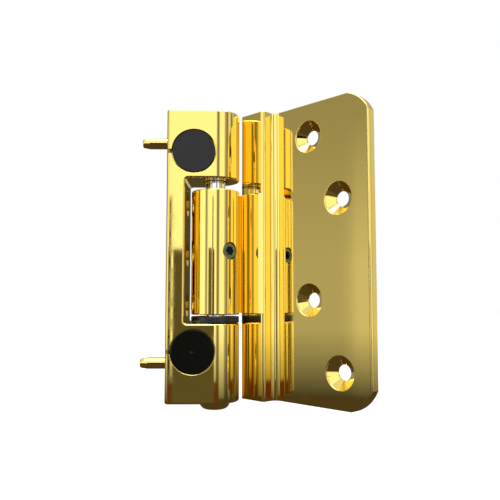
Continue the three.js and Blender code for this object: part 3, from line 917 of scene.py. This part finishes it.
def make_wall():
    wall = to_object("studio_wall", wall_mesh(-180, 180, STUDIO_RADIUS, WALL_HEIGHTS))
    light = wall.data.attributes.new("light", "FLOAT", "POINT")
    plain = BANDS["left_wall"][1]
    edge = BANDS["wall_edge"][1]
    for i, point in enumerate(wall.data.vertices):
        turn = math.degrees(math.atan2(point.co.x - PIN_AXIS.x, PIN_AXIS.y - point.co.y))
        share = 1
        if point.co.z < FOOT_TOP - TOUCHING:
            share = FOOT_LIGHT if abs(turn) < FOOT_SPAN else 1
        elif turn < edge and point.co.z > TOP_FADE_LOW + TOUCHING:
            share = TOP_LIGHT
            turn = min(turn, plain)
        light.data[i].value = band_light(turn) * share
    wall.data.materials.append(glow("studio_wall", WHITE, 1, "light"))
    hide_from_camera(wall)


STRIP_GAP = 0.04


def make_strip(name, start, end, low, high, colour, strength):
    """A strip that stands just inside the studio wall."""
    strip = to_object(name, wall_mesh(start, end, STUDIO_RADIUS - STRIP_GAP, [low, high]))
    strip.data.materials.append(glow(name, colour, strength))
    hide_from_camera(strip)


def make_card(name, left, right, low, high, depth, colour, strength):
    """A flat card that faces the hinge from the front; left and right are measured from the pin axis."""
    mesh = bmesh.new()
    corners = [(left, low), (right, low), (right, high), (left, high)]
    mesh.faces.new([mesh.verts.new((PIN_AXIS.x + x, depth, z)) for x, z in corners])
    card = to_object(name, mesh)
    card.data.materials.append(glow(name, colour, strength))
    hide_from_camera(card)


def make_ceiling():
    mesh = bmesh.new()
    bmesh.ops.create_circle(mesh, cap_ends=True, segments=CEILING_STEPS, radius=STUDIO_RADIUS)
    ceiling = to_object("ceiling", mesh)
    ceiling.location = (PIN_AXIS.x, PIN_AXIS.y, STUDIO_HIGH)
    ceiling.data.materials.append(glow("ceiling", WHITE, CEILING_STRENGTH))
    hide_from_camera(ceiling)


# Strips that stand inside the wall: from and to in degrees, low and high edges, colour and strength.
STRIPS = {
    "olive_strip": (-30, -13.8, STUDIO_LOW, 58 * MM, OLIVE, 0.15),
    "black_strip": (-11.9, -7.5, -130 * MM, 132 * MM, WHITE, 0.01),
    "maroon_strip": (-14.5, 16, STUDIO_LOW, -130 * MM, MAROON, 0.13),
    "behind_strip": (169, 191, STUDIO_LOW, STUDIO_HIGH, KHAKI, 0.075),
}
CARD_SIDES = (-36 * MM, -7 * MM)
CARD_HEIGHTS = (-140 * MM, 19 * MM)
CARD_BEHIND_CAMERA = 4 * MM
CARD_STRENGTH = 0.11


def make_studio():
    make_wall()
    make_ceiling()
    for name, strip in STRIPS.items():
        make_strip(name, *strip)
    depth = CAMERA_PLACE.y - CARD_BEHIND_CAMERA
    make_card("olive_card", *CARD_SIDES, *CARD_HEIGHTS, depth, OLIVE, CARD_STRENGTH)


FLOOR_SIZE = 3
FLOOR_COLOUR = (0.25, 0.25, 0.25)
FLOOR_GLOW = 0.97
FLOOR_ROUGHNESS = 0.9
FLOOR_GAP = 0.1 * MM


def make_floor():
    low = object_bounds()[0][2]
    mesh = bmesh.new()
    bmesh.ops.create_grid(mesh, x_segments=1, y_segments=1, size=FLOOR_SIZE)
    floor = to_object("floor", mesh)
    floor.location.z = low - FLOOR_GAP
    material, shader = new_material("floor", FLOOR_COLOUR, 0, FLOOR_ROUGHNESS)
    shader.inputs["Emission Color"].default_value = (1, 1, 1, 1)
    shader.inputs["Emission Strength"].default_value = FLOOR_GLOW
    floor.data.materials.append(material)
    floor.visible_glossy = False
    floor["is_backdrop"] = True


WORLD_COLOUR = (1, 0.75, 0.5)
WORLD_GLOW = 0.075


def make_world():
    """White to the camera, and dim and warm to reflections that pass below the studio wall."""
    world = bpy.data.worlds.new("studio")
    bpy.context.scene.world = world
    world.use_nodes = True
    nodes, links = world.node_tree.nodes, world.node_tree.links
    nodes.clear()
    path = nodes.new("ShaderNodeLightPath")
    dim = nodes.new("ShaderNodeBackground")
    dim.inputs["Strength"].default_value = WORLD_GLOW
    white = nodes.new("ShaderNodeBackground")
    white.inputs["Strength"].default_value = 1
    dim.inputs["Color"].default_value = (*WORLD_COLOUR, 1)
    white.inputs["Color"].default_value = (1, 1, 1, 1)
    mix = nodes.new("ShaderNodeMixShader")
    output = nodes.new("ShaderNodeOutputWorld")
    links.new(path.outputs["Is Camera Ray"], mix.inputs["Fac"])
    links.new(dim.outputs["Background"], mix.inputs[1])
    links.new(white.outputs["Background"], mix.inputs[2])
    links.new(mix.outputs["Shader"], output.inputs["Surface"])


LAMP_SIZE = 0.5
LAMP_POWER = 4
LAMP_PLACE = Vector((0.05, -0.1, 0.6))


def top_light():
    data = bpy.data.lights.new("top_softbox", "AREA")
    data.shape = "RECTANGLE"
    data.size = LAMP_SIZE
    data.size_y = LAMP_SIZE
    data.energy = LAMP_POWER
    light = bpy.data.objects.new("top_softbox", data)
    light.location = PIN_AXIS + LAMP_PLACE
    bpy.context.scene.collection.objects.link(light)


make_camera()
make_bracket()
for spigot in ("upper_spigot", "lower_spigot"):
    make_spigot(spigot)
for cap in ("upper_cap", "lower_cap"):
    make_cap(cap)
make_washer()
make_adjuster()
make_leaf()
make_pin()
make_grub()
dress_carried()
make_studio()
make_floor()
make_world()
top_light()
bpy.context.scene.view_settings.view_transform = "Standard"
